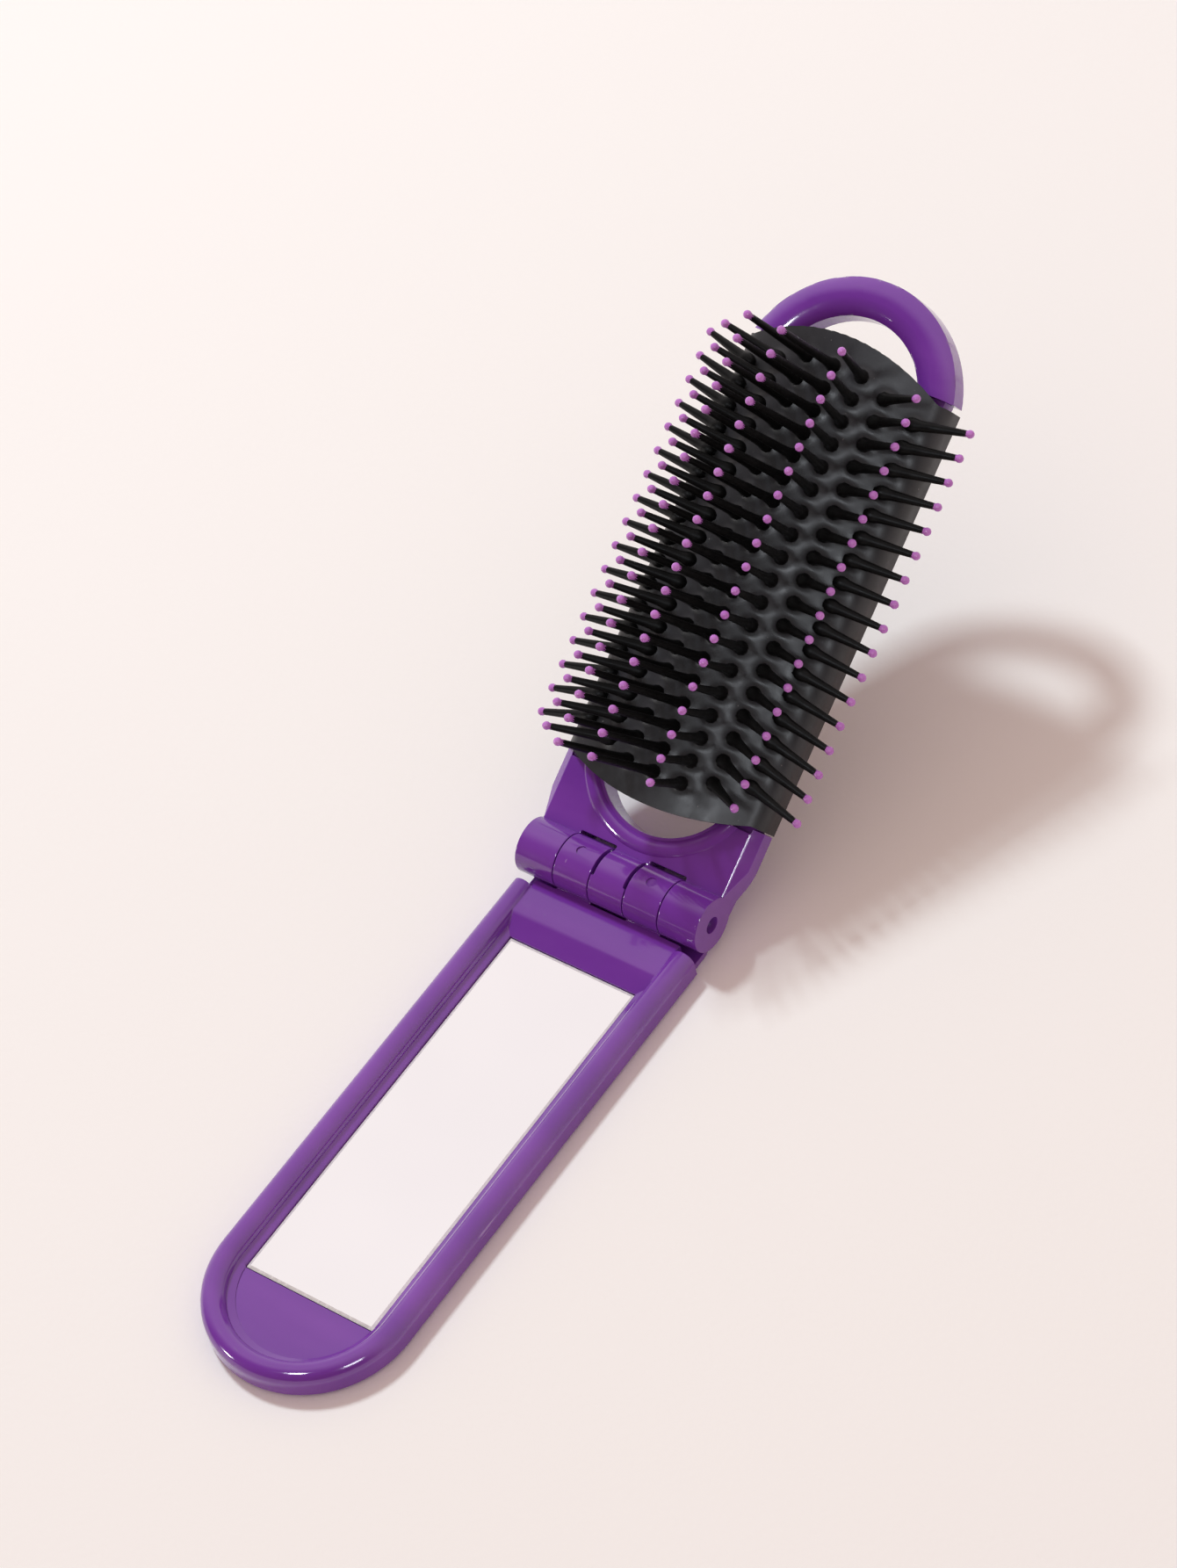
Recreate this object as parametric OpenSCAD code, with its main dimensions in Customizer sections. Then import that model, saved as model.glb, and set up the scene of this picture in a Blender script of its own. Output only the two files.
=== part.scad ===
// Folding pocket hairbrush with a mirror in its handle, drawn half open.
// The hinge axis runs along Y, above the origin. The handle lies flat towards -X, its underside at z = 0.
// The brush half is drawn along +X in its own axes, whose origin is on the hinge axis, and is then raised.

/* [Fold] */
// Angle that the brush half is raised from flat open
open_angle = 29.7; // [0:0.1:100]
// Gap between the closed brush half and the handle's bead
closed_gap = 0.3; // [0.2:0.1:0.8]

/* [Handle] */
// Width of the handle over its two beads
handle_w = 34; // [31:0.1:41]
// Distance from the hinge axis to the centre of the round end
handle_len = 81; // [81:0.1:98]
// Gap between the hinge barrel and the square end
end_gap = 1.05; // [0.8:0.05:2]
// Gap between the hinge barrel and the hollow end of the land
land_gap = 0.3; // [0.25:0.05:0.8]
// Height of the bead
bead_top = 5; // [4.6:0.1:5.2]
// Width of the bead
bead_w = 3.9; // [3.2:0.1:4.4]
// Width of the ledge between the bead and the mirror
ledge_w = 1.2; // [0.8:0.1:2]
// Thickness of the floor under the mirror
floor_t = 1; // [0.8:0.1:1.2]
// Height of the land beside the hinge
land_top = 4.2; // [3.8:0.1:4.6]
// Length of the land beside the hinge
land_len = 5; // [3:0.5:8]
// Length of the slope from the land down to the mirror
slope_len = 3.7; // [2:0.1:6]
// Length of the tongue of the floor under the hinge
tongue_len = 7.1; // [6:0.1:8]
// Thickness of the tongue
tongue_t = 1.2; // [0.8:0.1:1.4]

/* [Mirror] */
// Length of the mirror
mirror_len = 68.2; // [50:0.1:71]
// Thickness of the glass
glass_t = 1.1; // [0.8:0.1:1.4]
// Width of the bevel round the glass
bevel_w = 0.5; // [0.3:0.1:1.2]
// Height of the bevel
bevel_h = 0.2; // [0.2:0.1:0.6]
// Thickness of the adhesive pad
tape_t = 0.2; // [0.1:0.1:0.4]
// Distance from the edge of the glass to the edge of the adhesive pad
tape_inset = 2; // [1:0.5:6]

/* [Hinge] */
// Radius of the hinge barrel
barrel_r = 4.55; // [3.8:0.01:5.6]
// Gap between the barrel and the tongue under it
barrel_lift = 0.45; // [0.3:0.05:1]
// Length of each of the two end knuckles
end_knuckle = 7.1; // [5:0.1:9]
// Length of each of the two knuckles of the handle
handle_knuckle = 6.4; // [5:0.1:8]
// Gap between neighbouring knuckles
knuckle_gap = 0.15; // [0.1:0.05:0.4]
// Radius of the hinge pin
pin_r = 1.3; // [1:0.05:1.8]
// Depth of the pin's end inside the open mouth of its hole
pin_recess = 1.5; // [0.5:0.1:3]
// Depth of the step beside the rear half of the middle knuckle
parting_step = 0.45; // [0.2:0.05:0.8]
// Diameter of the dimple on each knuckle of the handle
dimple_d = 1.7; // [1:0.1:2.5]
// Depth of the dimples
dimple_depth = 0.25; // [0.1:0.05:0.5]

/* [Brush frame] */
// Width of the brush half over its sides
brush_w = 37; // [36:0.1:45]
// Depth of the body's underside below the hinge axis
body_bottom = 4.3; // [3.8:0.1:4.5]
// Distance from the hinge axis to the body's widest point
flare_at = 9.5; // [8:0.5:12]
// Width of the chamfer along the body's sides
side_chamfer = 2.4; // [1:0.1:3]
// Radius of the round cut-out that faces the pad
cut_r = 12.6; // [10:0.1:13]
// Distance from the hinge axis to the cut-out
cut_at = 8.6; // [8:0.1:10]
// Radius of the half-round ridge along the cut-out
ridge_r = 1.8; // [1:0.1:2.2]
// Height of the ridge over the plate round it
ridge_h = 0.55; // [0.2:0.05:1]
// Width of each side rail under the pad
rail_w = 4.2; // [3:0.1:5]
// Outer radius of the hanging loop
loop_r = 19; // [17:0.5:22]
// Width of the loop's ring
loop_w = 6.2; // [5:0.1:7]
// Distance from the pad's far edge back to the loop's centre
loop_inset = 4.1; // [0:0.1:8]
// Depth of the loop's crown below the body's top face
loop_drop = 0.2; // [0:0.1:1]
// Radius of the loop's crown across the ring
loop_crown_r = 4.6; // [4:0.1:8]

/* [Pad] */
// Distance from the hinge axis to the pad's straight near edge
pad_near = 16; // [14:0.5:20]
// Length of the pad's sides
pad_len = 69.5; // [50:0.1:84]
// Length of the rounded flap at the near end
near_flap = 3.4; // [2:0.1:4.5]
// Length of the rounded flap at the far end
far_flap = 4.5; // [3:0.1:6]
// Thickness of the pad
pad_t = 1.1; // [0.8:0.1:1.4]
// Height of the pad's crown over the hinge axis
crown_z = 5; // [4.4:0.1:6]
// Radius of the roll along each side
roll_r = 4; // [3.4:0.1:4.4]
// Depth of the roll's centre below the hinge axis
roll_depth = 1.7; // [1.4:0.1:2]
// Depth of the pad's lower edge below the hinge axis
skirt_depth = 4; // [3.8:0.1:4.3]
// Thickness of the lip that hooks under each rail
lip_t = 0.9; // [0.6:0.1:1]
// Length of that lip
lip_len = 2.4; // [1:0.1:3]

/* [Pins] */
// Least distance from the first pin of the middle row to the pad's straight edge
row_margin = 1; // [0.8:0.1:5]
// Spacing of the pins along a row at the pad
pin_pitch = 3.74; // [3.3:0.02:3.9]
// Spacing of the tips of the middle row
tip_pitch = 3.85; // [3.3:0.01:4]
// Distance from the middle of the pad to the middle of each row
row_shift = 0.55; // [-1:0.05:1.5]
// Distance that the tips of the middle row lean back, towards the hinge
tip_lean = 0.75; // [0:0.05:2]
// Radius of a pin at its foot
shaft_r = 0.6; // [0.4:0.05:0.7]
// Radius of a pin at its tip
end_r = 0.45; // [0.3:0.05:0.5]
// Radius of the round foot that stands on the pad
foot_r = 0.95; // [0.7:0.05:1.2]
// Radius of the bead on each tip
tip_r = 0.7; // [0.55:0.05:0.9]
// Length of the sleeve behind the bead
sleeve_len = 1; // [0.6:0.1:1.6]
// Width of the strip behind each row
strip_w = 2; // [1.6:0.1:2.6]
// Thickness of the strip behind each row
strip_t = 0.8; // [0.6:0.1:1.2]

/* [Fits] */
// Clearance of the hinge pin in the knuckles that turn on it
pin_fit = 0.05; // [0.03:0.01:0.1]
// Clearance of the hinge pin in the knuckles that grip it
grip_fit = 0.01; // [0.01:0.01:0.03]
// Gap round the glass and round the rails
seat_fit = 0.1; // [0.05:0.05:0.2]
// Gap between the barrel and the body behind it
barrel_gap = 0.5; // [0.4:0.1:0.8]
// Clearance round a pin in the pad and in its bead
shaft_fit = 0.03; // [0.02:0.01:0.1]

/* [Hidden] */

$fn = 48;
eps = 0.01;
far = 200;
side_signs = [-1, 1];

violet = "#6b2fa0";
black = "#232326";
lilac = "#bd74d2";

// Heights and places that follow from the hinge: the closed brush half just clears the bead
hinge_z = tongue_t + barrel_lift + barrel_r;
handle_gap = barrel_r + end_gap;
body_top = hinge_z - bead_top - closed_gap;
loop_top = body_top - loop_drop;

// Handle and mirror
edge_break = 0.6;
rim_w = bead_w + ledge_w;
mirror_start = handle_gap + land_len + slope_len;
mirror_w = handle_w - 2 * rim_w - 2 * seat_fit;
mirror_z = floor_t + tape_t + glass_t;
mirror_mid = mirror_start + mirror_len / 2;
tongue_corner = 4;
tongue_w = handle_w - 2;

// Hinge barrel, as long as the handle is wide
barrel_len = handle_w;
middle_knuckle = barrel_len - 2 * end_knuckle - 2 * handle_knuckle - 4 * knuckle_gap;
end_knuckle_y = (barrel_len - end_knuckle) / 2;
handle_knuckle_y = (middle_knuckle + handle_knuckle) / 2 + knuckle_gap;
pin_len = barrel_len - 2 * pin_recess;

// Brush frame
body_end = pad_near - 1;
shoulder_end = pad_near - 0.2;
neck_w = barrel_len - 0.4;
cut_centre = cut_at + cut_r;
rail_top = -0.3;
rail_bottom = -(skirt_depth - lip_t - seat_fit);
rail_end = pad_near + pad_len + 1;
loop_at = pad_near + pad_len - loop_inset;

// Arch of the pad: its radius follows from the crown and the two side rolls that it runs into
roll_z = -roll_depth;
roll_y = brush_w / 2 - roll_r;
arch_rise = crown_z - roll_z;
arch_r = (roll_y * roll_y + arch_rise * arch_rise - roll_r * roll_r) / (2 * (arch_rise - roll_r));
arch_z = crown_z - arch_r;
arch_angle = asin(roll_y / (arch_r - roll_r));
arch_steps = 12;
roll_steps = 9;
pad_far = pad_near + pad_len;
flap_half = roll_y + 2.3;

// Rows of pins, from the middle row outwards: place across the pad, and place of the tips
row_y = [0, 5, 9.8, 15.1];
tip_y = [0, 8.55, 17.5, 23.9];
tip_z = [25.5, 21.3, 10.2, 1.7];
// The tips of the outer rows fan out along the pad and lean back less
tip_pitches = [for (fan = [0, 0.04, 0.09, 0.15]) tip_pitch + fan];
tip_leans = [for (less = [0, 0.35, 0.4, 0.65]) tip_lean - less];
pins_long = floor((pad_len - 2 * row_margin) / pin_pitch) + 1;
pin_counts = [pins_long, pins_long, pins_long - 1, pins_long - 2];
row_at = pad_near + pad_len / 2 + row_shift;

// Points are [x, y, z] in the brush half's own axes
function row_side(row) = sign(row - 4);
function row_step(row) = abs(row - 4);
function row_lean(row) = row_side(row) * asin(row_y[row_step(row)] / arch_r);
function arch_point(row, r) = [r * sin(row_lean(row)), arch_z + r * cos(row_lean(row))];
function along(row, i, pitch) = (i - (pin_counts[row_step(row)] - 1) / 2) * pitch;
function foot(row, i) = concat([row_at + along(row, i, pin_pitch)], arch_point(row, arch_r + foot_r));
function tip(row, i) = [
    row_at - tip_leans[row_step(row)] + along(row, i, tip_pitches[row_step(row)]),
    row_side(row) * tip_y[row_step(row)],
    tip_z[row_step(row)]
];
function cap_radius(half, bulge) = (half * half + bulge * bulge) / (2 * bulge);

// Extrudes a shape drawn across Y and Z along +X
module along_x(length) {
    rotate([90, 0, 90]) linear_extrude(length) children();
}

// Extrudes a shape drawn across X and Z along Y, centred on y
module along_y(width, y = 0) {
    translate([0, y + width / 2, 0]) rotate([90, 0, 0]) linear_extrude(width) children();
}

module raised() {
    translate([0, 0, hinge_z]) rotate([0, -open_angle, 0]) children();
}

module centred_cylinder_y(r, length, y = 0) {
    translate([0, y + length / 2, 0]) rotate([90, 0, 0]) cylinder(r = r, h = length);
}

module from_to(a, b) {
    d = b - a;
    translate(a) rotate([0, acos(d[2] / norm(d)), atan2(d[1], d[0])]) children();
}

// Handle ---------------------------------------------------------------------------------------

module handle_outline(inset, start) {
    translate([-handle_len, 0]) circle(r = handle_w / 2 - inset, $fn = 96);
    translate([-handle_len, inset - handle_w / 2]) square([handle_len - start, handle_w - 2 * inset]);
}

// Section of the rim, from its outer edge inwards
module rim_section() {
    bead_z = bead_top - bead_w / 2;
    translate([bead_w / 2, bead_z]) circle(d = bead_w);
    polygon([
        [edge_break, 0], [0, edge_break], [0, bead_z], [bead_w, bead_z],
        [rim_w, mirror_z + 0.15], [rim_w, 0]
    ]);
}

module rim() {
    for (s = side_signs)
        translate([-handle_gap, 0, 0]) mirror([0, s < 0 ? 1 : 0, 0]) rotate([90, 0, -90])
            linear_extrude(handle_len - handle_gap) translate([-handle_w / 2, 0]) rim_section();
    translate([-handle_len, 0, 0]) rotate([0, 0, 90]) rotate_extrude(angle = 180, $fn = 96)
        translate([handle_w / 2, 0]) mirror([1, 0]) rim_section();
}

module land() {
    land_end = barrel_r - 0.3;
    difference() {
        along_y(handle_w - 2 * bead_w + 1) polygon([
            [-land_end, 0.5], [-land_end, land_top], [-handle_gap - land_len, land_top],
            [-mirror_start, mirror_z + 0.1], [-mirror_start, 0], [-handle_gap, 0], [-handle_gap, 0.5]
        ]);
        translate([0, 0, hinge_z]) centred_cylinder_y(barrel_r + land_gap, handle_w);
    }
}

module tongue() {
    linear_extrude(tongue_t) {
        translate([-handle_gap - 1, -tongue_w / 2]) square([tongue_len - tongue_corner + 1, tongue_w]);
        translate([-handle_gap, tongue_corner - tongue_w / 2])
            square([tongue_len, tongue_w - 2 * tongue_corner]);
        for (s = side_signs)
            translate([tongue_len - handle_gap - tongue_corner, s * (tongue_w / 2 - tongue_corner)])
                circle(r = tongue_corner);
    }
}

module handle_knuckles() {
    for (s = side_signs)
        difference() {
            union() {
                translate([0, 0, hinge_z])
                    centred_cylinder_y(barrel_r, handle_knuckle, s * handle_knuckle_y);
                along_y(handle_knuckle, s * handle_knuckle_y) polygon([
                    [-handle_gap - 1, 0.5], [-handle_gap - 1, land_top],
                    [-1, land_top], [-1, hinge_z - barrel_r]
                ]);
            }
            translate([0, s * handle_knuckle_y, hinge_z + barrel_r - dimple_depth])
                cylinder(d = dimple_d, h = 1);
        }
}

module handle_frame() {
    color(violet) difference() {
        union() {
            difference() {
                union() {
                    rim();
                    land();
                    linear_extrude(floor_t) handle_outline(edge_break + 0.4, handle_gap);
                    linear_extrude(mirror_z) intersection() {
                        handle_outline(bead_w, handle_gap);
                        translate([-mirror_start - mirror_len - far, -far / 2]) square(far);
                    }
                }
                translate([-mirror_mid - mirror_len / 2 - seat_fit, -mirror_w / 2 - seat_fit, floor_t])
                    cube([mirror_len + 2 * seat_fit, mirror_w + 2 * seat_fit, 10]);
            }
            tongue();
            handle_knuckles();
        }
        translate([0, 0, hinge_z]) centred_cylinder_y(pin_r + grip_fit, barrel_len + 2);
    }
}

// Section of the glass across its width or its length
module glass_section(width) {
    polygon([
        [-width / 2, 0], [width / 2, 0], [width / 2, glass_t - bevel_h],
        [width / 2 - bevel_w, glass_t], [bevel_w - width / 2, glass_t], [-width / 2, glass_t - bevel_h]
    ]);
}

module mirror_glass() {
    color("#e8e4e6") translate([-mirror_mid, 0, floor_t + tape_t]) intersection() {
        translate([-mirror_len / 2, 0, 0]) along_x(mirror_len) glass_section(mirror_w);
        along_y(mirror_w) glass_section(mirror_len);
    }
}

module mirror_tape() {
    color("white") translate([-mirror_mid, 0, floor_t + tape_t / 2])
        cube([mirror_len - 2 * tape_inset, mirror_w - 2 * tape_inset, tape_t], center = true);
}

module hinge_pin() {
    color("silver") translate([0, 0, hinge_z]) centred_cylinder_y(pin_r, pin_len);
}

// Brush frame ----------------------------------------------------------------------------------

module body_plan() {
    polygon([
        [0, -neck_w / 2], [flare_at / 2, -barrel_len / 2], [flare_at, -brush_w / 2],
        [shoulder_end, -brush_w / 2], [shoulder_end, -flap_half], [body_end, -flap_half],
        [body_end, flap_half], [shoulder_end, flap_half], [shoulder_end, brush_w / 2],
        [flare_at, brush_w / 2], [flare_at / 2, barrel_len / 2], [0, neck_w / 2]
    ]);
}

module body_section() {
    chamfer_z = body_top - side_chamfer * 0.8;
    polygon([
        [-brush_w / 2 + edge_break, -body_bottom], [brush_w / 2 - edge_break, -body_bottom],
        [brush_w / 2, -body_bottom + edge_break], [brush_w / 2, chamfer_z],
        [brush_w / 2 - side_chamfer, body_top], [side_chamfer - brush_w / 2, body_top],
        [-brush_w / 2, chamfer_z], [-brush_w / 2, -body_bottom + edge_break]
    ]);
}

module ridge_section() {
    translate([cut_r - 0.5, -body_bottom])
        square([2 * ridge_r + 0.5, body_bottom + body_top - ridge_h - 0.2]);
    translate([cut_r + ridge_r, body_top - ridge_r]) circle(r = ridge_r);
}

module body() {
    difference() {
        intersection() {
            union() {
                translate([0, 0, -body_bottom])
                    linear_extrude(body_bottom + body_top - ridge_h) body_plan();
                intersection() {
                    translate([0, 0, -body_bottom]) linear_extrude(far) body_plan();
                    translate([cut_centre, 0, 0]) rotate_extrude($fn = 96) ridge_section();
                }
            }
            along_x(far) body_section();
        }
        translate([cut_centre, 0, -10]) cylinder(r = cut_r, h = 20, $fn = 96);
        for (s = side_signs)
            centred_cylinder_y(
                barrel_r + barrel_gap, handle_knuckle + 2 * knuckle_gap, s * handle_knuckle_y
            );
    }
}

module rail_section() {
    r = roll_r - pad_t - seat_fit;
    intersection() {
        translate([roll_y + r - rail_w, rail_bottom]) square([rail_w, rail_top - rail_bottom]);
        union() {
            translate([roll_y, roll_z]) circle(r = r);
            translate([0, -10]) square([roll_y, 20]);
            translate([0, roll_z - 10]) square([roll_y + r, 10]);
        }
    }
}

module rails() {
    for (s = side_signs)
        translate([flare_at + 1, 0, 0]) mirror([0, s < 0 ? 1 : 0, 0])
            along_x(rail_end - flare_at) rail_section();
}

module loop_section() {
    crown_at = loop_r - loop_w / 2;
    intersection() {
        translate([loop_r - loop_w, -body_bottom + 0.3]) square([loop_w, body_bottom + loop_top]);
        translate([crown_at, loop_top - loop_crown_r]) circle(r = loop_crown_r);
    }
}

module loop() {
    intersection() {
        translate([loop_at, 0, 0]) rotate([0, 0, -90])
            rotate_extrude(angle = 180, $fn = 96) loop_section();
        translate([rail_end, -far / 2, -far / 2]) cube(far);
    }
}

module brush_knuckles() {
    difference() {
        centred_cylinder_y(barrel_r, middle_knuckle);
        for (s = side_signs)
            along_y(2 * parting_step, s * middle_knuckle / 2) translate([-0.4, 0.6]) square(10);
    }
    for (s = side_signs) centred_cylinder_y(barrel_r, end_knuckle, s * end_knuckle_y);
}

module brush_frame() {
    pin_hole_len = pin_len + pin_recess + 0.1;
    color(violet) raised() difference() {
        union() {
            difference() {
                union() {
                    body();
                    rails();
                }
                for (s = side_signs)
                    centred_cylinder_y(
                        barrel_r + barrel_gap, handle_knuckle + 2 * knuckle_gap, s * handle_knuckle_y
                    );
            }
            loop();
            brush_knuckles();
        }
        centred_cylinder_y(pin_r + pin_fit, pin_hole_len, (pin_len + 0.1 - pin_hole_len) / 2 + 0.05);
    }
}

// Pad ------------------------------------------------------------------------------------------

// Half of one face of the pad's section, from the crown down to the foot of the side
function half_face(inset, bottom) = concat(
    [for (k = [0:arch_steps]) let (a = k * arch_angle / arch_steps)
        [(arch_r - inset) * sin(a), arch_z + (arch_r - inset) * cos(a)]],
    [for (k = [1:roll_steps]) let (a = arch_angle + k * (90 - arch_angle) / roll_steps)
        [roll_y + (roll_r - inset) * sin(a), roll_z + (roll_r - inset) * cos(a)]],
    [[roll_y + roll_r - inset, bottom]]
);
function backwards(points) = [for (k = [len(points) - 1:-1:0]) points[k]];

module pad_section() {
    lip_y = roll_y + roll_r - pad_t - lip_len;
    half = concat(
        half_face(0, -skirt_depth), [[lip_y, -skirt_depth], [lip_y, lip_t - skirt_depth]],
        backwards(half_face(pad_t, lip_t - skirt_depth))
    );
    polygon(concat(half, [for (k = [len(half) - 2:-1:1]) [-half[k][0], half[k][1]]]));
}

module pad_flap(edge, bulge, way) {
    r = cap_radius(flap_half, bulge);
    intersection() {
        translate([edge + way * (bulge - r), 0]) circle(r = r, $fn = 192);
        translate([edge - (way < 0 ? 10 : 1), -flap_half]) square([11, 2 * flap_half]);
    }
}

module pad_plan() {
    translate([pad_near, -brush_w]) square([pad_len, 2 * brush_w]);
    pad_flap(pad_near, near_flap, -1);
    pad_flap(pad_far, far_flap, 1);
}

module at_row(row, i) {
    point = arch_point(row, arch_r);
    translate([row_at + along(row, i, pin_pitch), point[0], point[1]])
        rotate([-row_lean(row), 0, 0]) children();
}

module bristle_pad() {
    color(black) raised() difference() {
        intersection() {
            along_x(far) pad_section();
            translate([0, 0, -far / 2]) linear_extrude(far) pad_plan();
        }
        for (row = [1:7], i = [0:pin_counts[row_step(row)] - 1])
            at_row(row, i) translate([0, 0, -2 * pad_t])
                cylinder(r = shaft_r + shaft_fit, h = 4 * pad_t, $fn = 24);
    }
}

// Rows of pins ---------------------------------------------------------------------------------

module shaft(row, i) {
    length = norm(tip(row, i) - foot(row, i));
    taper_end = length - sleeve_len - 0.2;
    from_to(foot(row, i), tip(row, i)) {
        cylinder(r1 = shaft_r, r2 = end_r, h = taper_end, $fn = 16);
        translate([0, 0, taper_end - eps]) cylinder(r = end_r, h = length - taper_end, $fn = 16);
    }
}

module bristle_row(row) {
    count = pin_counts[row_step(row)];
    under = -pad_t - seat_fit - strip_t;
    strip_len = (count - 1) * pin_pitch + 2 * strip_w;
    color(black) raised() {
        at_row(row, (count - 1) / 2) translate([-strip_len / 2, -strip_w / 2, under])
            cube([strip_len, strip_w, strip_t]);
        for (i = [0:count - 1]) {
            at_row(row, i) {
                translate([0, 0, under + strip_t / 2])
                    cylinder(r = shaft_r, h = foot_r - under - strip_t / 2, $fn = 16);
                translate([0, 0, foot_r + 0.02]) sphere(r = foot_r, $fn = 16);
            }
            shaft(row, i);
        }
    }
}

module tip_bead() {
    rotate_extrude($fn = 16) difference() {
        union() {
            intersection() {
                circle(r = tip_r, $fn = 24);
                translate([0, -tip_r]) square(2 * tip_r);
            }
            translate([0, -sleeve_len]) square([tip_r - 0.1, sleeve_len]);
        }
        translate([-eps, -sleeve_len - eps]) square([end_r + shaft_fit + eps, sleeve_len + shaft_fit + eps]);
    }
}

module tip_beads(row) {
    color(lilac) raised() for (i = [0:pin_counts[row_step(row)] - 1])
        from_to(foot(row, i), tip(row, i))
            translate([0, 0, norm(tip(row, i) - foot(row, i))]) tip_bead();
}

handle_frame();
mirror_glass();
mirror_tape();
hinge_pin();
brush_frame();
bristle_pad();
for (row = [1:7]) {
    bristle_row(row);
    tip_beads(row);
}
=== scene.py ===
"""Looks of a folding pocket hairbrush with a mirror in its handle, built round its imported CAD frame."""

import logging
import math
from dataclasses import dataclass, field
from enum import Enum
from typing import Callable

import bpy
import numpy as np
from mathutils import Matrix, Vector
from mathutils.bvhtree import BVHTree


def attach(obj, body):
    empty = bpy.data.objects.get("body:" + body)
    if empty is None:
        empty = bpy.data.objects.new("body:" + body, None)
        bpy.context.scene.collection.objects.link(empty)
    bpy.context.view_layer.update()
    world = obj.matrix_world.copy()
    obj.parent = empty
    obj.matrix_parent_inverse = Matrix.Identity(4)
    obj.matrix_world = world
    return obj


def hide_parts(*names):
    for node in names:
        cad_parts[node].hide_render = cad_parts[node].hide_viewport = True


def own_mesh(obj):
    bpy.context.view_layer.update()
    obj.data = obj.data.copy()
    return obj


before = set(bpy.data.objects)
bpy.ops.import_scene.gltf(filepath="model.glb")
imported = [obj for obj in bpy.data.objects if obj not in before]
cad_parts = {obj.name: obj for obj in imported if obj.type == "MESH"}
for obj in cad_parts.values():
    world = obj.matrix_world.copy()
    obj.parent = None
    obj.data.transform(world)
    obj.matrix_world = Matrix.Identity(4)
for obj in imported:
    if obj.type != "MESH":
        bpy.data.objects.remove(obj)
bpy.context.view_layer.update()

log = logging.getLogger("pocket_hairbrush")
Colour = tuple[float, float, float]
Rings = tuple[tuple[float, float], ...]
MM = 0.001
WELD = 2e-6  # Points closer than this are one, in metres.
FLAT = 0.3  # Faces that meet at less than this are one flat face, in degrees.
NARROW = 2.2  # A face under this many roundings wide keeps its edges sharp.
STRAY = 0.4  # A point further than this share of the rounding off the skin is a stray.
ON_WALL = 0.15  # A point this close to a wall's plane is on the wall, in millimetres.
FACE_PULL = 60  # How strongly the large faces rule the shading: 50 is neutral, 100 the most.


class Body(Enum):
    """The two halves that turn about the hinge."""

    HANDLE = "handle"
    BRUSH = "brush"


class Ray(Enum):
    """The kinds of light that a lamp can be kept out of."""

    DIFFUSE = "diffuse"
    GLOSSY = "glossy"


class Slot(Enum):
    """The record's material slots."""

    HANDLE = "handle_plastic"
    FRAME = "frame_plastic"
    MIRROR = "mirror"
    FOAM = "adhesive_foam"
    STEEL = "pin_steel"
    RUBBER = "pad_rubber"
    NYLON = "pin_nylon"
    BEAD = "bead_nylon"


@dataclass(frozen=True)
class BrushAxes:
    """The brush half's own axes: x along the half, z out of its face, the origin on the hinge axis."""

    hinge_z: float = 6.2
    open_angle: float = 29.7

    def matrix(self) -> Matrix:
        """Returns the matrix from these axes, in millimetres, to the frame, in metres."""
        turn = Matrix.Rotation(-math.radians(self.open_angle), 4, "Y")
        return Matrix.Scale(MM, 4) @ Matrix.Translation((0, 0, self.hinge_z)) @ turn

    def normal(self) -> Vector:
        """Returns the direction out of the brush half's face, in the frame."""
        a = math.radians(self.open_angle)
        return Vector((-math.sin(a), 0, math.cos(a)))


AXES = BrushAxes()
ROWS = range(1, 8)  # The rows of pins, from the -y side.
MIDDLE_ROW = 4


# Bench work: small steps that every piece uses ------------------------------------------------


def pick(piece: bpy.types.Object) -> None:
    """Selects one object alone and makes it active.

    Args:
        piece: The object to work on.
    """
    bpy.ops.object.select_all(action="DESELECT")
    piece.hide_set(False)
    piece.select_set(True)
    bpy.context.view_layer.objects.active = piece


def edit(piece: bpy.types.Object, *steps: Callable[[], object]) -> None:
    """Runs mesh operators on all of an object's mesh in edit mode.

    Args:
        piece: The object to edit.
        steps: Calls of mesh operators, in order.
    """
    pick(piece)
    bpy.ops.object.mode_set(mode="EDIT")
    bpy.ops.mesh.select_all(action="SELECT")
    for step in steps:
        step()
    bpy.ops.object.mode_set(mode="OBJECT")


def apply_modifier(piece: bpy.types.Object, kind: str, **settings: object) -> None:
    """Adds a modifier, sets it and applies it.

    Args:
        piece: The object that gets it.
        kind: Blender's name for the kind of modifier.
        settings: Its settings by name.
    """
    pick(piece)
    modifier = piece.modifiers.new(kind.title(), kind)
    for name, value in settings.items():
        setattr(modifier, name, value)
    bpy.ops.object.modifier_apply(modifier=modifier.name)


def weld(piece: bpy.types.Object, distance: float = WELD) -> None:
    """Merges doubled points and turns every face outwards.

    Args:
        piece: The object to weld.
        distance: How close two points are to count as one, in the mesh's own unit.
    """
    edit(
        piece,
        lambda: bpy.ops.mesh.remove_doubles(threshold=distance),
        lambda: bpy.ops.mesh.normals_make_consistent(inside=False),
    )


def smooth(piece: bpy.types.Object, degrees: float) -> None:
    """Shades a piece smooth, with creases kept where faces meet at more than an angle.

    Args:
        piece: The object to shade.
        degrees: The angle.
    """
    pick(piece)
    bpy.ops.object.shade_smooth_by_angle(angle=math.radians(degrees))


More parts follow.
